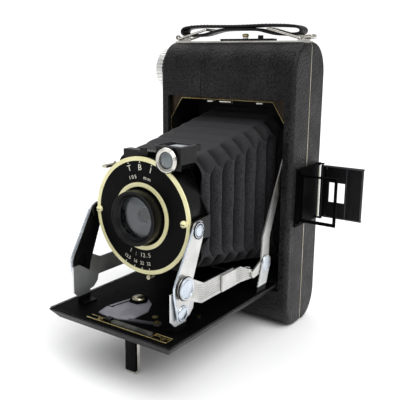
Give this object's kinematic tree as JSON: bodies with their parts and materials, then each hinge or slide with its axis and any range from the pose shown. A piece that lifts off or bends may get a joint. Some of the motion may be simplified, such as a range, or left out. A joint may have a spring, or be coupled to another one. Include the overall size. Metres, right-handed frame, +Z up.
{
  "type": "folding camera",
  "caption": "Folding bellows camera with a drop bed, self-erecting struts, round shutter, frame finder and leather strap.",
  "frame": {"origin": "on the table under the middle of the upright body", "axes": "+Z up along the body, +Y towards the back, +X to the right seen from the front"},
  "size_m": [0.1185, 0.1338, 0.1654],
  "materials": {
    "grained_leather": "embossed grain",
    "black_enamel": "semi-gloss",
    "satin_nickel": "brushed",
    "bright_nickel": "polished",
    "warm_brass": "worn nickel over brass",
    "cream_enamel": "gloss",
    "lens_glass": "polished",
    "ruby_film": "clear red",
    "bellows_cloth": "coated cloth"
  },
  "bodies": {
    "body": {"body_shell": "black_enamel", "body_leather": "grained_leather", "seam_trim": "bright_nickel", "opening_frame": "warm_brass", "chamber_box": "black_enamel", "top_plate": "bright_nickel", "strap_links": "bright_nickel", "carry_strap": "grained_leather", "finder_base": "black_enamel", "bed_hinge_sleeve": "black_enamel", "back_hinge_sleeve": "black_enamel", "bellows": "bellows_cloth"},
    "upper_roller": {"roller_top": "satin_nickel"},
    "lower_roller": {"roller_bottom": "satin_nickel"},
    "finder_front": {"finder_front_frame": "black_enamel"},
    "finder_rear": {"finder_rear_frame": "black_enamel"},
    "bed": {"bed_leather": "grained_leather", "bed_tray": "black_enamel", "bed_plate": "black_enamel", "bed_hinge_leaves": "black_enamel", "bed_front_fittings": "warm_brass", "bed_screws": "satin_nickel", "bed_brackets": "black_enamel", "bed_pivots": "satin_nickel", "tripod_bush": "bright_nickel"},
    "lever": {"bed_lever": "black_enamel"},
    "catch": {"bed_catch": "black_enamel"},
    "leg": {"stand_leg": "black_enamel"},
    "arm_right": {"front_arm_right": "satin_nickel"},
    "arm_left": {"front_arm_left": "satin_nickel"},
    "front_brace_right_body": {"front_brace_right": "satin_nickel"},
    "front_brace_left_body": {"front_brace_left": "satin_nickel"},
    "rear_brace_right_body": {"rear_brace_right": "satin_nickel"},
    "rear_brace_left_body": {"rear_brace_left": "satin_nickel"},
    "strut_right": {"rear_strut_right": "satin_nickel"},
    "strut_left": {"rear_strut_left": "satin_nickel"},
    "standard": {"standard_plate": "black_enamel", "shutter_case": "black_enamel", "shutter_face": "black_enamel", "shutter_rim": "cream_enamel", "rear_lens_cell": "satin_nickel", "rear_glass": "lens_glass"},
    "focus_mount": {"lens_barrel": "black_enamel", "front_glass": "lens_glass"},
    "aperture_control": {"aperture_lever": "bright_nickel"},
    "mode_control": {"mode_lever": "bright_nickel"},
    "release_control": {"release_lever": "bright_nickel"},
    "blade_leaf": {"shutter_blade": "black_enamel"},
    "small_finder": {"reflex_finder": "black_enamel", "finder_glasses": "lens_glass"},
    "winder": {"winding_knob": "bright_nickel", "take_up_spool": "satin_nickel"},
    "back": {"back_shell": "black_enamel", "back_leather": "grained_leather", "back_hinge_leaves": "black_enamel", "pressure_plate": "black_enamel", "pressure_spring": "satin_nickel", "red_window": "ruby_film"},
    "window_flap": {"window_cover": "black_enamel"},
    "back_latch": {"latch_bar": "black_enamel"}
  },
  "joints": [
    {"name": "bed_hinge", "type": "hinge", "parent": "body", "child": "bed", "pos_m": [0, -0.0154, 0.0276], "axis": [-1, 0, 0], "range_deg": [0, 90], "deforming": ["bellows"]},
    {"name": "arm_right_hinge", "type": "hinge", "parent": "bed", "child": "arm_right", "pos_m": [0.0314, -0.0965, 0.0365], "axis": [-1, 0, 0], "range_deg": [0, 64]},
    {"name": "arm_left_hinge", "type": "hinge", "parent": "bed", "child": "arm_left", "pos_m": [-0.0314, -0.0965, 0.0365], "axis": [-1, 0, 0], "range_deg": [0, 64]},
    {"name": "standard_hinge", "type": "hinge", "parent": "arm_right", "child": "standard", "pos_m": [0.0314, -0.0844, 0.0722], "axis": [-1, 0, 0], "range_deg": [-154, 0]},
    {"name": "front_brace_right_hinge", "type": "hinge", "parent": "arm_right", "child": "front_brace_right_body", "pos_m": [0.0329, -0.0963, 0.0485], "axis": [-1, 0, 0], "range_deg": [-66.5, 0]},
    {"name": "front_brace_left_hinge", "type": "hinge", "parent": "arm_left", "child": "front_brace_left_body", "pos_m": [-0.0329, -0.0963, 0.0485], "axis": [-1, 0, 0], "range_deg": [-66.5, 0]},
    {"name": "strut_right_hinge", "type": "hinge", "parent": "bed", "child": "strut_right", "pos_m": [0.0351, -0.0285, 0.042], "axis": [-1, 0, 0], "range_deg": [-120, 0]},
    {"name": "strut_left_hinge", "type": "hinge", "parent": "bed", "child": "strut_left", "pos_m": [-0.0351, -0.0285, 0.042], "axis": [-1, 0, 0], "range_deg": [-120, 0]},
    {"name": "rear_brace_right_hinge", "type": "hinge", "parent": "strut_right", "child": "rear_brace_right_body", "pos_m": [0.034, -0.04, 0.039], "axis": [-1, 0, 0], "range_deg": [0, 117.5]},
    {"name": "rear_brace_left_hinge", "type": "hinge", "parent": "strut_left", "child": "rear_brace_left_body", "pos_m": [-0.034, -0.04, 0.039], "axis": [-1, 0, 0], "range_deg": [0, 117.5]},
    {"name": "leg_hinge", "type": "hinge", "parent": "bed", "child": "leg", "pos_m": [0.0045, -0.1, 0.0208], "axis": [1, 0, 0], "range_deg": [0, 90]},
    {"name": "bed_lever_hinge", "type": "hinge", "parent": "bed", "child": "lever", "pos_m": [0.0186, -0.0984, 0.0284], "axis": [0, 0, 1], "range_deg": [-20, 0]},
    {"name": "bed_catch_slide", "type": "slide", "parent": "bed", "child": "catch", "axis": [0, 1, 0], "range_m": [0, 0.0015], "stiffness_N_per_m": 300},
    {"name": "focus_turn", "type": "hinge", "parent": "standard", "child": "focus_mount", "pos_m": [0, -0.09, 0.0742], "axis": [0, 1, 0], "range_deg": [0, 270]},
    {"name": "aperture_turn", "type": "hinge", "parent": "standard", "child": "aperture_control", "pos_m": [0, -0.084, 0.0742], "axis": [0, 1, 0], "range_deg": [-6, 24]},
    {"name": "mode_turn", "type": "hinge", "parent": "standard", "child": "mode_control", "pos_m": [0, -0.083, 0.0742], "axis": [0, 1, 0], "range_deg": [-12, 12]},
    {"name": "release_turn", "type": "hinge", "parent": "standard", "child": "release_control", "pos_m": [0, -0.0775, 0.0742], "axis": [0, 1, 0], "range_deg": [-12, 0], "stiffness_Nm_per_rad": 0.02},
    {"name": "blade_turn", "type": "hinge", "parent": "standard", "child": "blade_leaf", "pos_m": [0, -0.0768, 0.0742], "axis": [0, 1, 0], "range_deg": [-60, 0]},
    {"name": "small_finder_turn", "type": "hinge", "parent": "standard", "child": "small_finder", "pos_m": [0.019, -0.076, 0.0985], "axis": [0, 1, 0], "range_deg": [0, 90]},
    {"name": "winder_turn", "type": "hinge", "parent": "body", "child": "winder", "pos_m": [-0.045, -0.004, 0.1405], "axis": [1, 0, 0], "continuous": true},
    {"name": "upper_roller_turn", "type": "hinge", "parent": "body", "child": "upper_roller", "pos_m": [0, 0.0104, 0.133], "axis": [1, 0, 0], "continuous": true},
    {"name": "lower_roller_turn", "type": "hinge", "parent": "body", "child": "lower_roller", "pos_m": [0, 0.0104, 0.0194], "axis": [1, 0, 0], "continuous": true},
    {"name": "finder_front_hinge", "type": "hinge", "parent": "body", "child": "finder_front", "pos_m": [0.04445, -0.0088, 0.0747], "axis": [0, 0, 1], "range_deg": [0, 90]},
    {"name": "finder_rear_hinge", "type": "hinge", "parent": "body", "child": "finder_rear", "pos_m": [0.0461, 0.0156, 0.0747], "axis": [0, 0, 1], "range_deg": [-90, 0]},
    {"name": "back_hinge", "type": "hinge", "parent": "body", "child": "back", "pos_m": [0, 0.0014, 0.0022], "axis": [-1, 0, 0], "range_deg": [0, 90]},
    {"name": "window_flap_turn", "type": "hinge", "parent": "back", "child": "window_flap", "pos_m": [0.012, 0.0195, 0.05], "axis": [0, 1, 0], "range_deg": [0, 60]},
    {"name": "back_latch_slide", "type": "slide", "parent": "body", "child": "back_latch", "axis": [-1, 0, 0], "range_m": [0, 0.0034], "stiffness_N_per_m": 200}
  ],
  "couplings": [
    {"joint": "arm_right_hinge", "follows": "bed_hinge", "ratio": 0.708},
    {"joint": "arm_left_hinge", "follows": "bed_hinge", "ratio": 0.708},
    {"joint": "standard_hinge", "follows": "bed_hinge", "ratio": -1.708},
    {"joint": "front_brace_right_hinge", "follows": "bed_hinge", "ratio": -0.7356},
    {"joint": "front_brace_left_hinge", "follows": "bed_hinge", "ratio": -0.7356},
    {"joint": "strut_right_hinge", "follows": "bed_hinge", "ratio": -1.327},
    {"joint": "strut_left_hinge", "follows": "bed_hinge", "ratio": -1.327},
    {"joint": "rear_brace_right_hinge", "follows": "bed_hinge", "ratio": 1.299},
    {"joint": "rear_brace_left_hinge", "follows": "bed_hinge", "ratio": 1.299},
    {"joint": "blade_turn", "follows": "release_turn", "ratio": 5}
  ]
}
